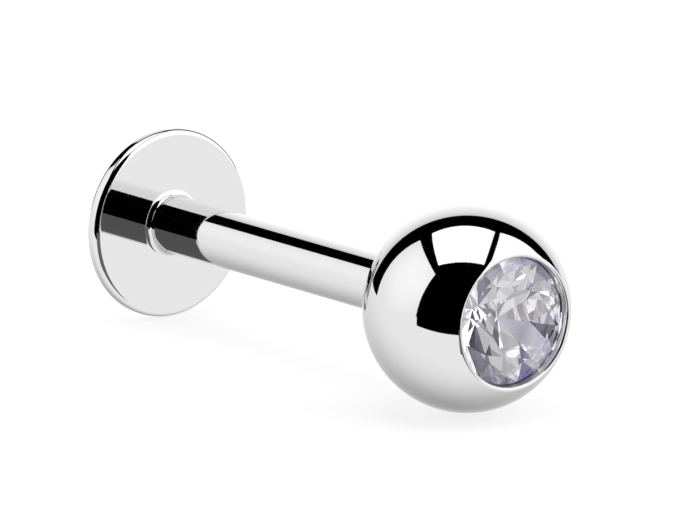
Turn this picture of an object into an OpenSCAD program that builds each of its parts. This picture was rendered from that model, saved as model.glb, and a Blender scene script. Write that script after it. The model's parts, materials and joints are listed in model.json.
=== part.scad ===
// Labret stud lying on its side, as it comes to rest when it is laid down:
// a flat-backed post with a threaded end, and a screw-on ball that is set
// with a round brilliant crystal. Millimetres, +Z up. The stud's axis runs
// along +X, and leans a little because the ball is wider than the disc.

/* [Post] */
// Diameter of the smooth shank
post_d = 1.2; // [1:0.1:1.6]
// Wearable length, from the disc's front face to the ball
wear_l = 8; // [5:0.5:14]
// Radius of the fillet where the shank meets the disc
root_r = 0.14; // [0.06:0.02:0.3]

/* [Disc] */
// Diameter of the flat back, over its rounded edge
disc_d = 4; // [3.4:0.1:5]
// Thickness of the flat back
disc_t = 0.35; // [0.3:0.05:0.6]
// Radius that rounds the front and the back of its edge
edge_r = 0.13; // [0.05:0.01:0.14]

/* [Thread] */
// Width of the shoulder between the shank and the crests of the thread
shoulder_w = 0.1; // [0.06:0.01:0.16]
// Distance from one crest to the next
thread_pitch = 0.25; // [0.2:0.05:0.35]
// Depth of the groove between two crests
thread_depth = 0.13; // [0.08:0.01:0.16]

/* [Ball] */
// Diameter of the ball
ball_d = 4.3; // [4:0.1:6]
// Width of the flat land round the shank at the ball's mouth
land_w = 0.05; // [0.02:0.01:0.15]
// Width of the lead-in chamfer at the mouth of the bore
lead_in = 0.03; // [0.01:0.01:0.04]
// Metal left between the end of the bore and the crystal's seat
floor_t = 0.3; // [0.2:0.05:0.6]
// Bore left free beyond the end of the thread
bore_spare = 0.15; // [0.05:0.05:0.3]

/* [Setting] */
// Radius of the burnished lip round the crystal
lip_r = 0.055; // [0.03:0.005:0.08]
// Depth of the crystal's girdle below the crest of the lip
girdle_drop = 0.18; // [0.08:0.02:0.3]

/* [Crystal] */
// Diameter of the crystal at its girdle
crystal_d = 2.64; // [2.2:0.02:2.9]
// Width of the table, across its corners
table_d = 1.52; // [1.2:0.02:1.7]
// Thickness of the girdle, measured at the corners of the facets
girdle_t = 0.08; // [0.06:0.01:0.12]
// Slope of the main facets of the crown, in degrees
crown_slope = 34.5; // [30:0.5:38]
// Slope of the main facets of the pavilion, in degrees
pavilion_slope = 41; // [38:0.5:43]
// Share of the crown's width that the star facets take up
star_share = 0.5; // [0.4:0.05:0.6]
// Share of the pavilion's radius that its half facets take up
lower_share = 0.5; // [0.4:0.05:0.85]
// Turn of the crystal in its seat, in degrees
crystal_turn = 10; // [0:1:44]

/* [Clearances] */
// Radial clearance between the thread's crests and the ball's bore
thread_gap = 0.03; // [0.02:0.01:0.05]
// Gap between the shank's shoulder and the ball
shoulder_gap = 0.02; // [0.01:0.01:0.05]
// Gap between the crystal and its seat
crystal_gap = 0.03; // [0.02:0.005:0.05]

/* [Hidden] */
round_fn = 96;

// Post and disc
post_r = post_d / 2;
disc_r = disc_d / 2;
mouth_at = disc_t + wear_l;
shoulder_at = mouth_at - shoulder_gap;

// Ball, with places along the axis measured from its centre
ball_r = ball_d / 2;
mouth_r = post_r + land_w;
mouth_back = sqrt(ball_r * ball_r - mouth_r * mouth_r);
ball_at = mouth_at + mouth_back;

// Lip of the setting: its round touches the ball's surface from inside
crystal_r = crystal_d / 2;
seat_r = crystal_r + crystal_gap;
lip_mid_r = seat_r + lip_r;
lip_at = sqrt(pow(ball_r - lip_r, 2) - lip_mid_r * lip_mid_r);
lip_turn = atan2(lip_mid_r, lip_at);
lip_steps = 12;

// Crystal, with heights measured from the upper corners of its girdle
facets = 8;
step_a = 360 / facets;
half_a = step_a / 2;
quarter_a = step_a / 4;
arc_steps = 4;
girdle_n = facets * 2 * arc_steps;
table_r = table_d / 2;
star_r = table_r * cos(half_a) + star_share * (crystal_r - table_r * cos(half_a));
lower_r = (1 - lower_share) * crystal_r;
crown_h = (crystal_r - table_r) * tan(crown_slope);
star_h = (crystal_r - star_r * cos(half_a)) * tan(crown_slope);
culet_h = -girdle_t - crystal_r * tan(pavilion_slope);
lower_h = -girdle_t - (crystal_r - lower_r * cos(half_a)) * tan(pavilion_slope);
upper_rise = star_h / ((crystal_r - star_r) * cos(quarter_a));
lower_rise = (-girdle_t - lower_h) / ((crystal_r - lower_r) * cos(quarter_a));
crystal_at = ball_at + lip_at + lip_r - girdle_drop;

// Seat and bore, measured from the ball's centre
seat_tip = crystal_at - ball_at + culet_h - crystal_gap / cos(pavilion_slope);
bore_end = seat_tip - floor_t;
thread_r = post_r - shoulder_w;
thread_root_r = thread_r - thread_depth;
bore_r = thread_r + thread_gap;
thread_end = ball_at + bore_end - bore_spare;
thread_n = floor((thread_end - shoulder_at - thread_pitch / 2) / thread_pitch);

// Rest: the disc's rim and the ball both touch the surface below
reach = ball_at - edge_r;
lean = asin((ball_r - edge_r) / norm([reach, disc_r - edge_r])) - atan2(disc_r - edge_r, reach);
rise = ball_r - ball_at * sin(lean);
back_x = edge_r * cos(lean) - edge_r - (disc_r - edge_r) * abs(sin(lean));
front_x = (crystal_at + crown_h) * cos(lean) + table_r * abs(sin(lean));
slack = 0.01;

// Lays the stud down, from upright on its disc, with its box centred on the origin
module lie() {
    translate([-(back_x + front_x) / 2, 0, rise])
        rotate([0, 90 - lean, 0])
            children();
}

module rounded_disc() {
    cylinder(r = disc_r - edge_r, h = disc_t, $fn = round_fn);
    translate([0, 0, edge_r])
        cylinder(r = disc_r, h = disc_t - 2 * edge_r, $fn = round_fn);
    for (edge_at = [edge_r, disc_t - edge_r])
        rotate_extrude($fn = round_fn)
            translate([disc_r - edge_r, edge_at])
                circle(r = edge_r, $fn = round_fn);
}

module root_fillet() {
    translate([0, 0, disc_t])
        rotate_extrude($fn = round_fn)
            difference() {
                translate([post_r - slack, -slack])
                    square([root_r + slack, root_r + slack]);
                translate([post_r + root_r, root_r])
                    circle(r = root_r, $fn = round_fn);
            }
}

// Outline of the threaded end: a ring groove and a sharp ring crest for each pitch
function thread_outline() = concat(
    [[0, shoulder_at - slack], [thread_root_r, shoulder_at - slack]],
    [for (i = [0 : thread_n - 1], half = [0 : 1])
        [half == 0 ? thread_root_r : thread_r,
            shoulder_at + (i + (half + 1) / 2) * thread_pitch]],
    [[thread_root_r, thread_end], [0, thread_end]]
);

module labret_post() {
    color("silver")
        lie() {
            rounded_disc();
            root_fillet();
            cylinder(r = post_r, h = shoulder_at, $fn = round_fn);
            rotate_extrude($fn = round_fn)
                polygon(thread_outline());
        }
}

// Point on the lip's round, from the crystal's side at -90 to the ball's at lip_turn
function lip_point(a) = [lip_mid_r + lip_r * sin(a), lip_at + lip_r * cos(a)];

// Room cut for the crystal: its conical seat, its wall, and all outside the lip
module setting_cut() {
    last_step = (lip_turn + 90) / lip_steps;
    lip_edge = lip_point(lip_turn);
    past_edge = 2 * lip_edge - lip_point(lip_turn - last_step);
    rotate_extrude($fn = round_fn)
        polygon(concat(
            [[0, seat_tip], [seat_r, seat_tip + seat_r * tan(pavilion_slope)]],
            [for (i = [0 : lip_steps - 1]) lip_point(-90 + i * last_step)],
            [past_edge, [2 * past_edge[0], 2 * ball_r], [0, 2 * ball_r]]
        ));
}

module ball() {
    color("silver")
        lie()
            translate([0, 0, ball_at])
                difference() {
                    sphere(r = ball_r, $fn = round_fn);
                    translate([0, 0, -2 * ball_r])
                        cylinder(r = ball_r, h = 2 * ball_r - mouth_back, $fn = round_fn);
                    translate([0, 0, -ball_r])
                        cylinder(r = bore_r, h = ball_r + bore_end, $fn = round_fn);
                    translate([0, 0, -mouth_back - slack])
                        cylinder(r1 = bore_r + lead_in + slack, r2 = bore_r, h = lead_in + slack, $fn = round_fn);
                    setting_cut();
                }
}

function around(r, a, h) = [r * cos(a), r * sin(a), h];

// How far the girdle's edge dips between two corners of the facets beside it
function dip(a) =
    let (from_corner = a - half_a * floor(a / half_a))
        crystal_r * (cos(from_corner - quarter_a) - cos(quarter_a));

// Names of the crystal's points, in the order of its list of points
function table_i(i) = i % facets;
function star_i(i) = facets + (i + facets) % facets;
function top_i(j) = 2 * facets + j % girdle_n;
function under_i(j) = 2 * facets + girdle_n + j % girdle_n;
function lower_i(i) = 2 * facets + 2 * girdle_n + (i + facets) % facets;
culet_i = 3 * facets + 2 * girdle_n;

function crystal_points() = concat(
    [for (i = [0 : facets - 1]) around(table_r, i * step_a, crown_h)],
    [for (i = [0 : facets - 1]) around(star_r, (i + 0.5) * step_a, star_h)],
    [for (j = [0 : girdle_n - 1])
        let (a = j * 360 / girdle_n) around(crystal_r, a, -upper_rise * dip(a))],
    [for (j = [0 : girdle_n - 1])
        let (a = j * 360 / girdle_n) around(crystal_r, a, -girdle_t + lower_rise * dip(a))],
    [for (i = [0 : facets - 1]) around(lower_r, (i + 0.5) * step_a, lower_h)],
    [[0, 0, culet_h]]
);

// Facets of the brilliant: table, stars, kites, upper halves, girdle, mains, lower halves
function crystal_facets() = concat(
    [[for (i = [facets - 1 : -1 : 0]) table_i(i)]],
    [for (i = [0 : facets - 1]) [table_i(i), table_i(i + 1), star_i(i)]],
    [for (i = [0 : facets - 1])
        [table_i(i), star_i(i), top_i(2 * arc_steps * i), star_i(i - 1)]],
    [for (h = [0 : 2 * facets - 1])
        concat([star_i(floor(h / 2))], [for (k = [arc_steps : -1 : 0]) top_i(h * arc_steps + k)])],
    [for (j = [0 : girdle_n - 1]) [top_i(j), top_i(j + 1), under_i(j + 1), under_i(j)]],
    [for (i = [0 : facets - 1])
        [culet_i, lower_i(i - 1), under_i(2 * arc_steps * i), lower_i(i)]],
    [for (h = [0 : 2 * facets - 1])
        concat([lower_i(floor(h / 2))], [for (k = [0 : arc_steps]) under_i(h * arc_steps + k)])]
);

module crystal() {
    color("lavender")
        lie()
            translate([0, 0, crystal_at])
                rotate([0, 0, crystal_turn])
                    polyhedron(points = crystal_points(), faces = crystal_facets());
}

labret_post();
ball();
crystal();
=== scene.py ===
"""Looks of the labret stud: mirror-polished steel, turned on a lathe, and a cut crystal, in a small studio.

The pieces are shaped upright in millimetres, with the stud's axis as +Z and the middle of the disc's
back face as the origin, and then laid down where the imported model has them.
"""

import json
import math

import bmesh
import bpy
from mathutils import Matrix, Vector


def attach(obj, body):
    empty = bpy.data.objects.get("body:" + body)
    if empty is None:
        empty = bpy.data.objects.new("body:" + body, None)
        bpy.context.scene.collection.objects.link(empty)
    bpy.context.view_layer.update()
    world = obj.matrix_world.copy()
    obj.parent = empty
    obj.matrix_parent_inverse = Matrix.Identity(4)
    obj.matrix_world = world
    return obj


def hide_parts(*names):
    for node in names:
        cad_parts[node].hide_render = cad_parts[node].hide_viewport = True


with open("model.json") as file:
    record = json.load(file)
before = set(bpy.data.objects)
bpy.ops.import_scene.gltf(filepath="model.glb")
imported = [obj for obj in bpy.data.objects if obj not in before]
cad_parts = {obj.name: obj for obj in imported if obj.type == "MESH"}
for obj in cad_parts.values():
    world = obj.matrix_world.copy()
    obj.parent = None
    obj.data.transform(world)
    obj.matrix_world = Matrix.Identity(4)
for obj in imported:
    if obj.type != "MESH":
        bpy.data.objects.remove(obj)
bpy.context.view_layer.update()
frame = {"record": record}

MM = 0.001
MOUNTS = {mount["name"]: mount for mount in frame["record"]["mounts"]}
POST_BODY, BALL_BODY = "flat_back_post", "screw_ball"

# Sizes of the stud, in millimetres
POST_R = MOUNTS["shank"]["dims"]["r_mm"]
WEAR_L = 8.0
ROOT_R = 0.14
DISC_R = 2.0
DISC_T = 0.35
EDGE_R = 0.13
SHOULDER_W = 0.1
THREAD_PITCH = 0.25
THREAD_DEPTH = 0.13
BALL_R = 2.15
LAND_W = 0.05
LEAD_IN = 0.03
FLOOR_T = 0.3
BORE_SPARE = 0.15
LIP_R = 0.055
GIRDLE_DROP = 0.18
CRYSTAL_R = 1.32
TABLE_R = 0.76
GIRDLE_T = 0.08
CROWN_SLOPE = math.radians(34.5)
PAVILION_SLOPE = math.radians(41)
CRYSTAL_TURN = math.radians(10)
STAR_SHARE = 0.5
LOWER_SHARE = 0.5
THREAD_GAP = 0.03
SHOULDER_GAP = 0.02
CRYSTAL_GAP = 0.03

# Worked out from those: names that end in _AT, _TIP and _END are heights above the disc's back face,
# but for LIP_AT, which is above the ball's middle
MOUTH_AT = DISC_T + WEAR_L
MOUTH_R = POST_R + LAND_W
MOUTH_BACK = math.sqrt(BALL_R**2 - MOUTH_R**2)
BALL_AT = MOUTH_AT + MOUTH_BACK
SEAT_R = CRYSTAL_R + CRYSTAL_GAP
LIP_MID_R = SEAT_R + LIP_R
LIP_AT = math.sqrt((BALL_R - LIP_R) ** 2 - LIP_MID_R**2)
LIP_TURN = math.atan2(LIP_MID_R, LIP_AT)
CRYSTAL_AT = BALL_AT + LIP_AT + LIP_R - GIRDLE_DROP
CULET_H = -GIRDLE_T - CRYSTAL_R * math.tan(PAVILION_SLOPE)
SEAT_TIP = CRYSTAL_AT + CULET_H - CRYSTAL_GAP / math.cos(PAVILION_SLOPE)
BORE_END = SEAT_TIP - FLOOR_T
THREAD_END = BORE_END - BORE_SPARE
THREAD_R = POST_R - SHOULDER_W
BORE_R = THREAD_R + THREAD_GAP

# Where the stud lies
AXIS = Vector(MOUNTS["shank"]["axis"]).normalized()
BACK = Vector(MOUNTS["disc_back"]["pos_m"])
BALL = BACK + AXIS * BALL_AT * MM

# How finely the pieces are made
TURN_PARTS = 192
BALL_PARTS = 72
ROUND_PARTS = 16
GIRDLE_PARTS = 128
SHARP = math.radians(30)


def laid_down():
    """The place of the upright stud as it lies, with its own +X pointing down."""
    side = Vector((0, 1, 0))
    down = side.cross(AXIS)
    turn = Matrix((down, side, AXIS)).transposed().to_4x4()
    return Matrix.Translation(BACK) @ turn @ Matrix.Scale(MM, 4)


class Turned:
    """A piece from the lathe: an outline of straight and round stretches, spun about +Z."""

    def __init__(self, radius, height):
        self.bm = bmesh.new()
        self.end = self.bm.verts.new((radius, 0, height))

    def line(self, radius, height, parts=1):
        """A straight stretch to that radius and height, in equal parts."""
        start, goal = self.end.co.copy(), Vector((radius, 0, height))
        for part in range(1, parts + 1):
            made = bmesh.ops.extrude_vert_indiv(self.bm, verts=[self.end])
            self.end = made["verts"][0]
            self.end.co = start.lerp(goal, part / parts)

    def arc(self, radius, height, angle, parts=ROUND_PARTS):
        """A round stretch about that centre, positive from +X towards -Z."""
        made = bmesh.ops.spin(
            self.bm, geom=[self.end], cent=(radius, 0, height), axis=(0, 1, 0), angle=angle, steps=parts
        )
        self.end = next(item for item in made["geom_last"] if isinstance(item, bmesh.types.BMVert))

    def spun(self):
        """The outline turned all the way round, as a closed mesh with its faces outwards."""
        bmesh.ops.spin(
            self.bm, geom=self.bm.verts[:] + self.bm.edges[:], cent=(0, 0, 0), axis=(0, 0, 1),
            angle=math.tau, steps=TURN_PARTS, use_merge=True,
        )
        bmesh.ops.remove_doubles(self.bm, verts=self.bm.verts[:], dist=1e-6)
        bmesh.ops.recalc_face_normals(self.bm, faces=self.bm.faces[:])
        return self.bm


def finished(bm, name, materials, body, node, sharp=None):
    """Lays a shaped piece down and fits it to its body: smooth but for corners sharper than that."""
    bm.normal_update()
    if sharp is not None:
        for face in bm.faces:
            face.smooth = True
        for edge in bm.edges:
            edge.smooth = edge.calc_face_angle(0) < sharp
    bm.transform(laid_down())
    mesh = bpy.data.meshes.new(name)
    bm.to_mesh(mesh)
    bm.free()
    for material in materials:
        mesh.materials.append(material)
    piece = bpy.data.objects.new(name, mesh)
    bpy.context.scene.collection.objects.link(piece)
    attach(piece, body)
    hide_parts(node)


class Value:
    """A number that varies over a surface: arithmetic on it adds Math nodes."""

    def __init__(self, tree, socket):
        self.tree, self.socket = tree, socket

    def worked_out(self, operation, first, second):
        node = self.tree.add("ShaderNodeMath", {"operation": operation}, (first, second))
        return Value(self.tree, node.outputs[0])

    def __add__(self, other):
        return self.worked_out("ADD", self, other)

    def __sub__(self, other):
        return self.worked_out("SUBTRACT", self, other)

    def __rsub__(self, other):
        return self.worked_out("SUBTRACT", other, self)

    def __mul__(self, other):
        return self.worked_out("MULTIPLY", self, other)

    def __truediv__(self, other):
        return self.worked_out("DIVIDE", self, other)

    def __rtruediv__(self, other):
        return self.worked_out("DIVIDE", other, self)

    __radd__ = __add__
    __rmul__ = __mul__


class Shading:
    """The node tree of one material or of the world."""

    def __init__(self, owner):
        owner.use_nodes = True
        self.tree = owner.node_tree
        self.tree.nodes.clear()

    def add(self, kind, settings=None, sockets=()):
        """A node of that type, with its settings made first, and then its sockets filled or linked."""
        node = self.tree.nodes.new(kind)
        for name, value in (settings or {}).items():
            setattr(node, name, value)
        pairs = sockets.items() if isinstance(sockets, dict) else enumerate(sockets)
        for key, value in pairs:
            if isinstance(value, Value):
                value = value.socket
            if isinstance(value, bpy.types.NodeSocket):
                self.tree.links.new(value, node.inputs[key])
            else:
                node.inputs[key].default_value = value
        return node

    def value(self, socket):
        return Value(self, socket)

    def place(self):
        """Object coordinates, which are places in metres in the stud's own frame."""
        return self.add("ShaderNodeTexCoord").outputs["Object"]

    def vector(self, operation, *vectors):
        """The node of one operation on vectors."""
        return self.add("ShaderNodeVectorMath", {"operation": operation}, vectors)

    def noise(self, coordinates, scale, detail=2.0):
        """Smooth noise from 0 to 1, with that many features to the metre."""
        sockets = {"Vector": coordinates, "Scale": scale, "Detail": detail, "Roughness": 0.5}
        return self.value(self.add("ShaderNodeTexNoise", {}, sockets).outputs["Fac"])

    def emission(self, strength):
        """White light of that strength."""
        return self.add("ShaderNodeEmission", {}, {"Color": (1, 1, 1, 1), "Strength": strength}).outputs[0]

    def mixed(self, share, first, second):
        """The first shader, giving way to the second by that share."""
        return self.add("ShaderNodeMixShader", {}, (share, first, second)).outputs[0]

    def surface(self, shader):
        self.add("ShaderNodeOutputMaterial", {}, {"Surface": shader})


# Finish of the steel: sizes of its haze and mop lines in features to the metre, heights in metres
STEEL_COLOUR = (0.62, 0.62, 0.625, 1)
STEEL_ROUGHNESS = 0.035
STEEL_HAZE = 0.02
HAZE_SCALE = 900
MOP_SCALE = 26000
MOP_DRAWN_OUT = 7
MOP_DEPTH = 2e-6
MOP_STRENGTH = 0.03


def polished_steel():
    """Mirror-polished surgical steel, with the faint lines and haze that a polishing mop leaves."""
    material = bpy.data.materials.new("polished_steel")
    made = Shading(material)
    place = made.place()
    haze = made.noise(place, HAZE_SCALE, detail=3)
    # Noise drawn out round the stud's axis, as the mop leaves it
    round_axis = made.add(
        "ShaderNodeMapping", {"vector_type": "TEXTURE"},
        {
            "Vector": place,
            "Rotation": AXIS.to_track_quat("Z", "Y").to_euler(),
            "Scale": (MOP_DRAWN_OUT, MOP_DRAWN_OUT, 1),
        },
    ).outputs[0]
    lines = made.noise(round_axis, MOP_SCALE, detail=1)
    bump = made.add(
        "ShaderNodeBump", {}, {"Strength": MOP_STRENGTH, "Distance": MOP_DEPTH, "Height": lines}
    )
    shader = made.add(
        "ShaderNodeBsdfPrincipled", {},
        {
            "Base Color": STEEL_COLOUR,
            "Metallic": 1.0,
            "Roughness": STEEL_ROUGHNESS + (haze - 0.5) * STEEL_HAZE,
            "Normal": bump.outputs[0],
        },
    )
    made.surface(shader.outputs[0])
    return material


# Finish of the crystal, and the painted glow of its backing
CRYSTAL_COLOUR = (0.97, 0.965, 0.99, 1)
CRYSTAL_IOR = 1.7
BACKING_HAZE = 0.03
BACKING_HAZE_SCALE = 1800
PAINTED_BACKING_GLOW = 0.24


def clear_crystal():
    """Polished crystal with a breath of lavender: its crown and girdle."""
    material = bpy.data.materials.new("clear_crystal")
    made = Shading(material)
    shader = made.add(
        "ShaderNodeBsdfPrincipled", {},
        {
            "Base Color": CRYSTAL_COLOUR,
            "Roughness": 0.0,
            "IOR": CRYSTAL_IOR,
            "Transmission Weight": 1.0,
        },
    )
    made.surface(shader.outputs[0])
    return material


def crystal_backing():
    """The bright pavilion backing: each facet mirrors, with painted light of its own and a painted glow."""
    material = bpy.data.materials.new("crystal_backing")
    made = Shading(material)
    haze = made.noise(made.place(), BACKING_HAZE_SCALE)
    # Each facet's painted light: a colour, with its roughness in the alpha
    coat = made.add("ShaderNodeAttribute", {"attribute_name": PAINTED_LIGHT_ATTRIBUTE}).outputs
    shader = made.add(
        "ShaderNodeBsdfPrincipled", {},
        {
            "Base Color": coat["Color"],
            "Metallic": 1.0,
            "Roughness": made.value(coat["Alpha"]) + (haze - 0.5) * BACKING_HAZE,
            "Emission Color": coat["Color"],
            # Painted glow, in each facet's painted colour
            "Emission Strength": PAINTED_BACKING_GLOW,
        },
    )
    made.surface(shader.outputs[0])
    return material


def shape_post():
    """The flat back with its rounded edge, the fillet, the shank and the threaded end, in one piece."""
    # A short stretch beside each round keeps its shading off the flat or the shank
    hold = 0.01
    quarter = math.pi / 2
    outline = Turned(0, 0)
    outline.line(DISC_R - EDGE_R - hold, 0, 6)
    outline.line(DISC_R - EDGE_R, 0)
    outline.arc(DISC_R - EDGE_R, EDGE_R, -quarter)
    outline.line(DISC_R, DISC_T - EDGE_R)
    outline.arc(DISC_R - EDGE_R, DISC_T - EDGE_R, -quarter)
    outline.line(DISC_R - EDGE_R - hold, DISC_T)
    outline.line(POST_R + ROOT_R + hold, DISC_T, 6)
    outline.line(POST_R + ROOT_R, DISC_T)
    outline.arc(POST_R + ROOT_R, DISC_T + ROOT_R, quarter)
    outline.line(POST_R, DISC_T + ROOT_R + hold)
    shoulder_at = MOUTH_AT - SHOULDER_GAP
    outline.line(POST_R, shoulder_at, 12)
    groove_r = THREAD_R - THREAD_DEPTH
    outline.line(groove_r, shoulder_at)
    turns = math.floor((THREAD_END - shoulder_at - THREAD_PITCH / 2) / THREAD_PITCH)
    for turn in range(turns):
        outline.line(groove_r, shoulder_at + (turn + 0.5) * THREAD_PITCH)
        outline.line(THREAD_R, shoulder_at + (turn + 1) * THREAD_PITCH)
    outline.line(groove_r, THREAD_END)
    outline.line(0, THREAD_END)
    return outline.spun()


def shape_ball():
    """The ball with its bore, the burnished lip and the seat that it holds the crystal in."""
    outline = Turned(0, BORE_END)
    outline.line(BORE_R, BORE_END)
    outline.line(BORE_R, MOUTH_AT + LEAD_IN, 4)
    outline.line(BORE_R + LEAD_IN, MOUTH_AT)
    outline.line(MOUTH_R, MOUTH_AT)
    mouth_turn = math.asin(MOUTH_R / BALL_R)
    outline.arc(0, BALL_AT, -(math.pi - mouth_turn - LIP_TURN), BALL_PARTS)
    outline.arc(LIP_MID_R, BALL_AT + LIP_AT, -(LIP_TURN + math.pi / 2))
    outline.line(SEAT_R, SEAT_TIP + SEAT_R * math.tan(PAVILION_SLOPE))
    outline.line(0, SEAT_TIP, 4)
    return outline.spun()


# Painted light on the pavilion's facets, each a colour and a roughness: bright and dark facets painted in
# as the stone's sparkle
PAINTED_LIGHT_ATTRIBUTE = "coat"
WHITE = (1.0, 1.0, 1.0, 0.04)
PALE = (0.74, 0.72, 0.82, 0.04)
CLOUD = (0.74, 0.72, 0.83, 0.25)
WARM = (0.60, 0.585, 0.60, 0.04)
MID = (0.45, 0.44, 0.52, 0.04)
DUSK = (0.15, 0.145, 0.18, 0.04)
SLATE = (0.07, 0.065, 0.09, 0.04)
VIOLET = (0.22, 0.20, 0.42, 0.04)

# Which facet has which painted light, from the one that points down and round past the picture's
# right: the main facets, and then the half facets, two to each main one
MAIN_PAINTED_LIGHTS = (WHITE, CLOUD, WARM, WHITE, MID, WHITE, WHITE, DUSK)
HALF_PAINTED_LIGHTS = (
    VIOLET, WHITE, SLATE, MID, WHITE, MID, MID, WHITE,
    MID, WHITE, MID, PALE, WHITE, WHITE, MID, MID,
)


def shape_crystal():
    """A round brilliant, ground from a round blank, with its girdle's upper edge at height 0 at first."""
    facets = 8
    step = math.tau / facets
    apothem = TABLE_R * math.cos(step / 2)
    crown_h = (CRYSTAL_R - TABLE_R) * math.tan(CROWN_SLOPE)
    star_r = apothem + STAR_SHARE * (CRYSTAL_R - apothem)
    star_h = (CRYSTAL_R - star_r * math.cos(step / 2)) * math.tan(CROWN_SLOPE)
    lower_r = (1 - LOWER_SHARE) * CRYSTAL_R
    lower_h = (CRYSTAL_R - lower_r * math.cos(step / 2)) * math.tan(PAVILION_SLOPE)
    quarter = math.cos(step / 4)
    bm = bmesh.new()
    bmesh.ops.create_cone(
        bm, cap_ends=True, segments=GIRDLE_PARTS, radius1=CRYSTAL_R, radius2=CRYSTAL_R, depth=4 * CRYSTAL_R
    )
    # Each facet's painted light, kept on its face
    painted_light_layer = bm.faces.layers.float_color.new(PAINTED_LIGHT_ATTRIBUTE)

    def grind(turn, slope, radius, height, coat=None):
        """One facet at that slope, through a point at that radius and height, backed if it has painted
        light.
        """
        way = Matrix.Rotation(turn, 3, "Z")
        normal = way @ Vector((math.sin(slope), 0, math.cos(slope)))
        bmesh.ops.bisect_plane(
            bm, geom=bm.verts[:] + bm.edges[:] + bm.faces[:], dist=1e-7,
            plane_co=way @ Vector((radius, 0, height)), plane_no=normal, clear_outer=True,
        )
        rim = [edge for edge in bm.edges if edge.is_boundary]
        for face in bmesh.ops.contextual_create(bm, geom=rim)["faces"]:
            face.material_index = 1 if coat else 0
            face[painted_light_layer] = coat or WHITE

    up, down = CROWN_SLOPE, math.pi - PAVILION_SLOPE
    grind(0, 0, 0, crown_h)
    for i in range(facets):
        grind(i * step, up, CRYSTAL_R, 0)
        grind(i * step, down, CRYSTAL_R, -GIRDLE_T, MAIN_PAINTED_LIGHTS[i])
    star_slope = math.atan2(crown_h - star_h, star_r - apothem)
    upper_slope = math.atan2(star_h, (CRYSTAL_R - star_r) * quarter)
    lower_slope = math.pi - math.atan2(lower_h, (CRYSTAL_R - lower_r) * quarter)
    for i in range(facets):
        grind((i + 0.5) * step, star_slope, apothem, crown_h)
    for i in range(2 * facets):
        grind((i + 0.5) * step / 2, upper_slope, CRYSTAL_R * quarter, 0)
        grind((i + 0.5) * step / 2, lower_slope, CRYSTAL_R * quarter, -GIRDLE_T, HALF_PAINTED_LIGHTS[i])
    bmesh.ops.dissolve_limit(
        bm, angle_limit=math.radians(0.1), verts=bm.verts[:], edges=bm.edges[:], delimit={"MATERIAL"}
    )
    bmesh.ops.recalc_face_normals(bm, faces=bm.faces[:])
    bm.transform(Matrix.Translation((0, 0, CRYSTAL_AT)) @ Matrix.Rotation(CRYSTAL_TURN, 4, "Z"))
    return bm


# The camera: the ball's middle is in that pixel of a picture of that size
CAMERA_AZIMUTH = math.radians(52.5)
CAMERA_ELEVATION = math.radians(13.84)
LENS_MM = 1000
SENSOR_MM = 36
PICTURE_SIZE = (680, 524)
PIXELS_PER_MM = 48.2
BALL_PIXEL = (465.5, 308.2)


def way_to(azimuth, elevation):
    """A direction by its elevation, and its azimuth from the camera's towards the picture's right."""
    across = CAMERA_AZIMUTH + azimuth
    level = math.cos(elevation)
    return Vector((math.sin(across) * level, -math.cos(across) * level, math.sin(elevation)))


def place_camera():
    """A long lens from the photo's angle, with the ball's middle where the photo has it."""
    right = way_to(math.pi / 2, 0)
    back = way_to(0, CAMERA_ELEVATION)
    up = back.cross(right)
    across = (BALL_PIXEL[0] - PICTURE_SIZE[0] / 2) / PIXELS_PER_MM * MM
    below = (BALL_PIXEL[1] - PICTURE_SIZE[1] / 2) / PIXELS_PER_MM * MM
    middle = BACK + AXIS * (BALL_AT / 2) * MM
    aim = BALL - right * across + up * below
    aim += back * (middle - aim).dot(back)
    distance = PICTURE_SIZE[0] / PIXELS_PER_MM * LENS_MM / SENSOR_MM * MM
    camera = bpy.data.objects.new("camera", bpy.data.cameras.new("camera"))
    camera.data.lens = LENS_MM
    camera.data.sensor_width = SENSOR_MM
    camera.data.clip_start = 0.01
    camera.data.clip_end = 10
    camera.location = aim + back * distance
    camera.rotation_mode = "QUATERNION"
    camera.rotation_quaternion = back.to_track_quat("Z", "Y")
    bpy.context.scene.collection.objects.link(camera)
    bpy.context.scene.camera = camera


# The studio, in metres: how far its parts stand from the ball
REACH = 0.45
NEARER = 0.42
NEAREST = 0.8 * NEARER
TENT_R = 2.5 * REACH
FLOOR_HALF = 1.5


def staged(name, bm, material):
    """A part of the studio, which only mirrors and surfaces see."""
    mesh = bpy.data.meshes.new(name)
    bm.to_mesh(mesh)
    bm.free()
    mesh.materials.append(material)
    thing = bpy.data.objects.new(name, mesh)
    thing.visible_camera = False
    thing.visible_shadow = False
    bpy.context.scene.collection.objects.link(thing)
    return thing


def stage_panel(name, place, material, left, right, foot, top, unit=1.0):
    """A flat panel between those four sides in its own plane, counted in that unit of length."""
    bm = bmesh.new()
    bmesh.ops.create_grid(bm, x_segments=1, y_segments=1, size=0.5)
    bmesh.ops.scale(bm, vec=((right - left) * unit, (top - foot) * unit, 1), verts=bm.verts[:])
    bmesh.ops.translate(
        bm, vec=((left + right) / 2 * unit, (foot + top) / 2 * unit, 0), verts=bm.verts[:]
    )
    bm.transform(place)
    return staged(name, bm, material)


def standing(azimuth, distance, lean=0.0):
    """A standing panel's place: on the floor that far from the ball, and leaning in at the top."""
    turn = Matrix.Rotation(CAMERA_AZIMUTH + math.radians(azimuth), 4, "Z")
    upright = Matrix.Rotation(math.pi / 2 - math.radians(lean), 4, "X")
    foot = Matrix.Translation((BALL.x, BALL.y, 0))
    return foot @ turn @ Matrix.Translation((0, -distance, 0)) @ upright


def cut_off(bm, way):
    """Takes away what lies on that side of the origin."""
    bmesh.ops.bisect_plane(
        bm, geom=bm.verts[:] + bm.edges[:] + bm.faces[:], plane_co=(0, 0, 0), plane_no=way, clear_outer=True
    )


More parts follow.
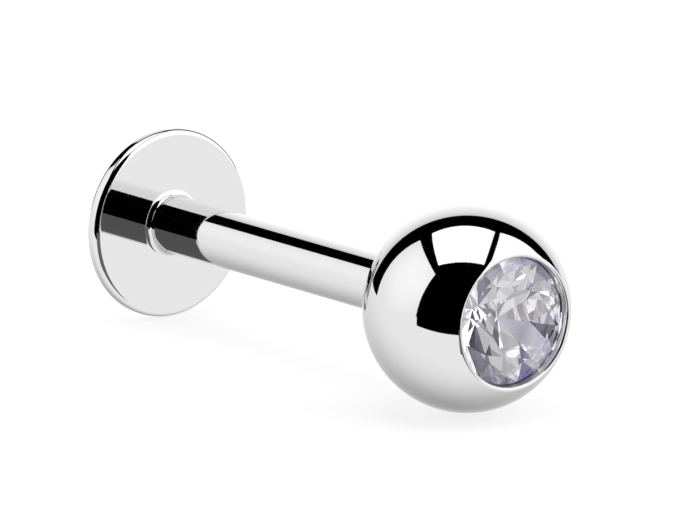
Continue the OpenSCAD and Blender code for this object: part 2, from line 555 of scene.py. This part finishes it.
def glow(name, strength, middle=None, fall=0.0):
    """A lit diffuser, whose light may fall off by that share at 0.7 of the reach from its middle."""
    material = bpy.data.materials.new(name)
    made = Shading(material)
    light = made.emission(strength)
    if middle is not None:
        away = made.vector("DISTANCE", made.place(), middle).outputs["Value"]
        share = made.value(away) / REACH
        light = made.mixed(share * share * 2, light, made.emission(strength * (1 - fall)))
    made.surface(light)
    return material


def tent_glow(name, strength, darkest, painted_shade_strength):
    """The tent's light, seen from the ball: bright, with a soft painted shade about its darkest way."""
    material = bpy.data.materials.new(name)
    made = Shading(material)
    away = made.vector("SUBTRACT", made.place(), BALL).outputs["Vector"]
    way = made.vector("NORMALIZE", away).outputs["Vector"]
    along = made.vector("DOT_PRODUCT", way, darkest).outputs["Value"]
    near = made.value(made.add("ShaderNodeMath", {"operation": "MAXIMUM"}, (along, 0.0)).outputs[0])
    # Painted shade: dimmer towards the darkest way, by the cube of how near a way points to it
    made.surface(made.mixed(near * near * near, made.emission(strength), made.emission(painted_shade_strength)))
    return material


def pale_board(name, shade, near, far):
    """A matt white board lit from below, with a little painted shade about the stud, lighter farther off.
    """
    material = bpy.data.materials.new(name)
    made = Shading(material)
    away = made.vector("LENGTH", made.place()).outputs["Value"]
    # Painted shade: the glow is dimmer within 4 mm of the stud, and full from 13 mm out
    share = made.add(
        "ShaderNodeMapRange", {"interpolation_type": "SMOOTHSTEP"},
        {"Value": away, "From Min": 4 * MM, "From Max": 13 * MM},
    ).outputs["Result"]
    light = made.add(
        "ShaderNodeMix", {"data_type": "RGBA"},
        {"Factor": share, "A": (near, near, near, 1), "B": (far, far, far, 1)},
    ).outputs["Result"]
    shader = made.add(
        "ShaderNodeBsdfPrincipled", {},
        {
            "Base Color": (shade, shade, shade, 1),
            "Roughness": 1.0,
            "Specular IOR Level": 0.0,
            "Emission Color": light,
            "Emission Strength": 1.0,
        },
    )
    made.surface(shader.outputs[0])
    return material


def build_softboxes():
    """One on each side of the camera, and one overhead."""
    left = standing(-90, REACH, lean=13.7)
    brightest = left @ Vector((0.15 * REACH, 0.6 * REACH, 0))
    stage_panel(
        "left_softbox", left, glow("left_glow", 1.5, brightest, fall=0.17),
        left=-0.6, right=0.625, foot=0, top=1.032, unit=REACH,
    )
    stage_panel(
        "right_softbox", standing(88, REACH, lean=19.5), glow("right_glow", 1.65),
        left=-0.812, right=0.7, foot=0, top=1.29, unit=REACH,
    )
    turn = Matrix.Rotation(CAMERA_AZIMUTH - math.radians(4), 4, "Z")
    stage_panel(
        "overhead_softbox", Matrix.Translation((BALL.x, BALL.y, REACH)) @ turn, glow("overhead_glow", 1.8),
        left=-0.543, right=0.364, foot=-0.435, top=0.53, unit=REACH,
    )


def build_wall():
    """A pale wall behind the stud, with an arched top."""
    place = standing(180, REACH)
    brightest = place @ Vector((0, 0.15 * REACH, 0))
    arch = bmesh.new()
    bmesh.ops.create_circle(arch, cap_ends=True, segments=96, radius=REACH)
    bmesh.ops.scale(arch, vec=(0.79, 0.86, 1), verts=arch.verts[:])
    cut_off(arch, (0, -1, 0))
    arch.transform(place)
    staged("pale_wall", arch, glow("wall_glow", 1.3, brightest, fall=0.3))


def build_fronts():
    """A black board before the stud, and a grey one lower down to the right: a faint glow of painted shade.
    """
    stage_panel(
        "dark_front", standing(0, NEARER), glow("dark_front", 0.0),
        left=-1.54, right=0.78, foot=-0.2735, top=0.0714, unit=NEARER,
    )
    stage_panel(
        # A faint grey glow of painted shade, which only the metal mirrors
        "grey_front", standing(29, NEAREST), glow("grey_front", 0.19),
        left=-0.7, right=0.575, foot=-0.9, top=-0.185, unit=NEAREST,
    )


def build_tent():
    """The lower half of a white tent, which the metal mirrors all round and from below."""
    tent = bmesh.new()
    bmesh.ops.create_uvsphere(tent, u_segments=64, v_segments=32, radius=TENT_R)
    bmesh.ops.translate(tent, vec=BALL, verts=tent.verts[:])
    cut_off(tent, (0, 0, 1))
    # Painted shade on the tent: darkest low and behind the stud
    darkest = way_to(math.radians(-170), math.radians(-50))
    staged("tent", tent, tent_glow("tent_glow", 1.28, darkest, painted_shade_strength=0.52))


def build_floor():
    """A pale floor for the eye alone: the metal mirrors the tent, as in the photo."""
    # Painted shade about the stud: the floor's glow rises from near to far
    floor = stage_panel(
        "floor", Matrix.Identity(4), pale_board("pale_floor", 0.35, near=0.74, far=0.86),
        left=-1, right=1, foot=-1, top=1, unit=FLOOR_HALF,
    )
    floor.visible_camera = True
    floor.visible_shadow = True
    floor.visible_glossy = False
    floor.visible_transmission = False


def build_sky():
    """A white background for the camera, and black between the lights for all else."""
    world = bpy.data.worlds.new("studio")
    bpy.context.scene.world = world
    made = Shading(world)
    seen = made.add("ShaderNodeLightPath").outputs["Is Camera Ray"]
    dark = made.add("ShaderNodeBackground", {}, {"Strength": 0.0}).outputs[0]
    white = made.add("ShaderNodeBackground", {}, {"Color": (1, 1, 1, 1), "Strength": 1.0}).outputs[0]
    made.add("ShaderNodeOutputWorld", {}, {"Surface": made.mixed(seen, dark, white)})
    bpy.context.scene.view_settings.view_transform = "Standard"


steel = [polished_steel()]
crystal = [clear_crystal(), crystal_backing()]
finished(shape_post(), "stud_post", steel, POST_BODY, "labret_post", SHARP)
finished(shape_ball(), "stud_ball", steel, BALL_BODY, "ball", SHARP)
finished(shape_crystal(), "stud_crystal", crystal, BALL_BODY, "crystal")
place_camera()
build_softboxes()
build_wall()
build_fronts()
build_tent()
build_floor()
build_sky()
